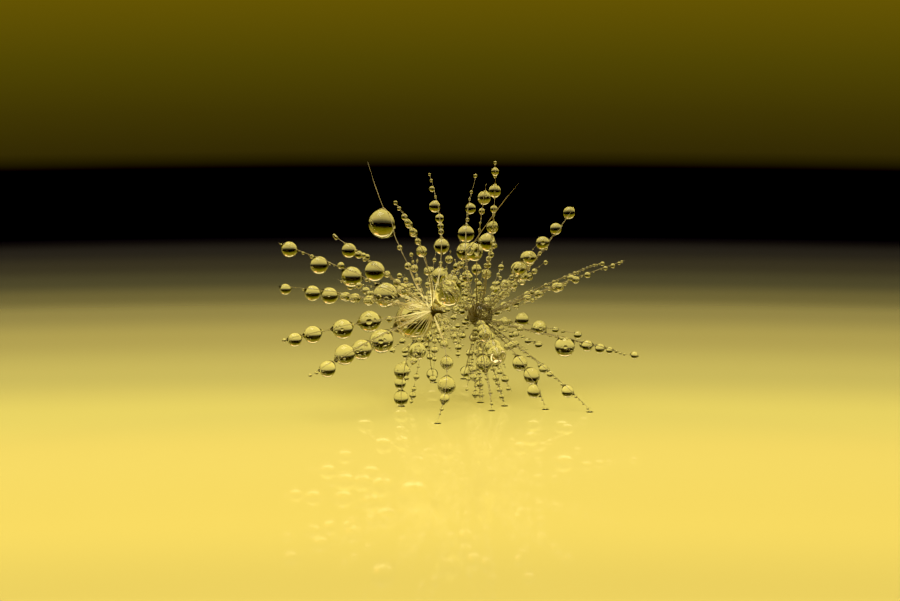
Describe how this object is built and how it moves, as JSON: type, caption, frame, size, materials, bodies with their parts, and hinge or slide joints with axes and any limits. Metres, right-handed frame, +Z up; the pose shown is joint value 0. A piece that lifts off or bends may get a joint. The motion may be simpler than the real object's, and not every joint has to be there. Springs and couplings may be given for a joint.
{
  "type": "wet dandelion pappus tuft",
  "caption": "Tuft of wet dandelion seed parachutes standing on their hair tips, the hairs drawn into strands and beaded with round drops of water.",
  "frame": {"origin": "centre of the bounding box at its lowest level, the surface that the hair tips stand on", "axes": "+X to the right along the line of the parachutes, the longest extent; +Y away from the viewer; +Z up"},
  "size_m": [0.0164, 0.013, 0.0113],
  "materials": {
    "wet_pappus": "pale straw hairs, wet",
    "pappus_hair": "pale straw hair, wet and glossy",
    "pappus_plate": "brown, finely ribbed",
    "water": "clear water, smooth"
  },
  "bodies": {
    "root": {"pappus_left": "wet_pappus", "pappus_right": "wet_pappus"}
  },
  "joints": []
}
